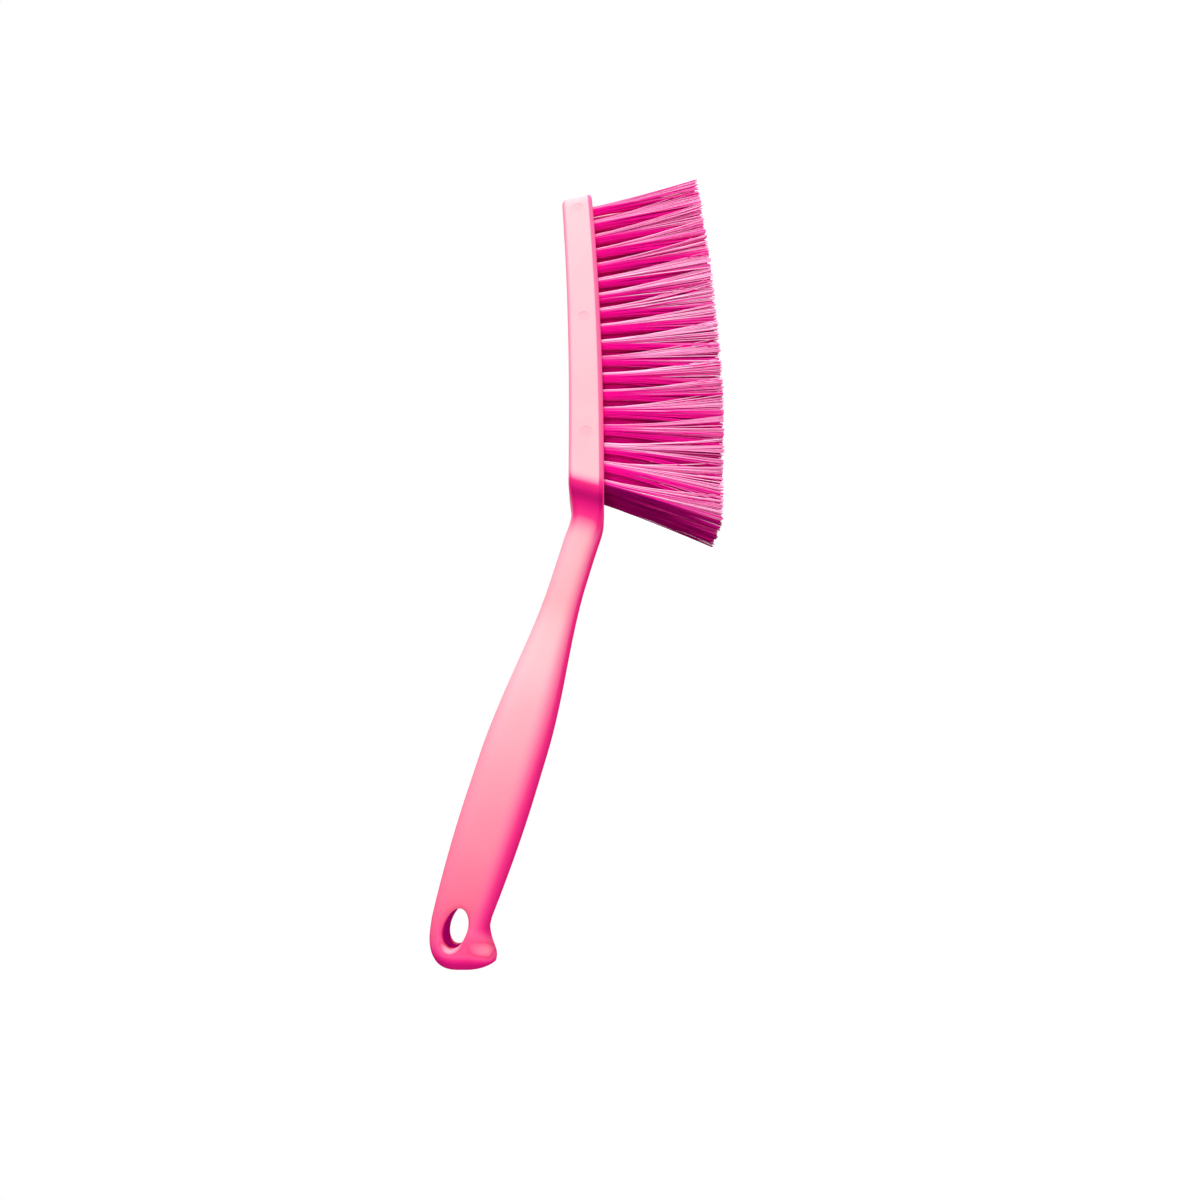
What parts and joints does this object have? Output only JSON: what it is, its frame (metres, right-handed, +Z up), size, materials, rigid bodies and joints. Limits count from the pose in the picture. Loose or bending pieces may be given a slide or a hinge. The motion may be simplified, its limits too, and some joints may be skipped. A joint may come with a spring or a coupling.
{
  "type": "bakery brush",
  "caption": "Slim hand brush for flour and crumbs: bowed block with three rows of fanned filament tufts, waisted neck, angled grip and a hook end with a hanging hole.",
  "frame": {"origin": "middle of the bounding box, on the surface that the filament tips stand on", "axes": "+X along the brush towards the free end of the head, +Y across the head, +Z up, out of the back of the block. The brush balances on its tips, so the head is tipped up by 3.8 degrees."},
  "size_m": [0.3412, 0.0252, 0.0942],
  "materials": {
    "handle": "moulded polypropylene, fine satin, pink through and through",
    "filament": "extruded polyester filament, smooth and slightly glossy, deeper pink"
  },
  "bodies": {
    "root": {"handle_block": "handle", "tuft_a01": "filament", "tuft_a02": "filament", "tuft_a03": "filament", "tuft_a04": "filament", "tuft_a05": "filament", "tuft_a06": "filament", "tuft_a07": "filament", "tuft_a08": "filament", "tuft_a09": "filament", "tuft_a10": "filament", "tuft_a11": "filament", "tuft_a12": "filament", "tuft_a13": "filament", "tuft_a14": "filament", "tuft_a15": "filament", "tuft_a16": "filament", "tuft_a17": "filament", "tuft_a18": "filament", "tuft_b01": "filament", "tuft_b02": "filament", "tuft_b03": "filament", "tuft_b04": "filament", "tuft_b05": "filament", "tuft_b06": "filament", "tuft_b07": "filament", "tuft_b08": "filament", "tuft_b09": "filament", "tuft_b10": "filament", "tuft_b11": "filament", "tuft_b12": "filament", "tuft_b13": "filament", "tuft_b14": "filament", "tuft_b15": "filament", "tuft_b16": "filament", "tuft_b17": "filament", "tuft_b18": "filament", "tuft_c01": "filament", "tuft_c02": "filament", "tuft_c03": "filament", "tuft_c04": "filament", "tuft_c05": "filament", "tuft_c06": "filament", "tuft_c07": "filament", "tuft_c08": "filament", "tuft_c09": "filament", "tuft_c10": "filament", "tuft_c11": "filament", "tuft_c12": "filament", "tuft_c13": "filament", "tuft_c14": "filament", "tuft_c15": "filament", "tuft_c16": "filament", "tuft_c17": "filament", "tuft_c18": "filament"}
  },
  "joints": []
}
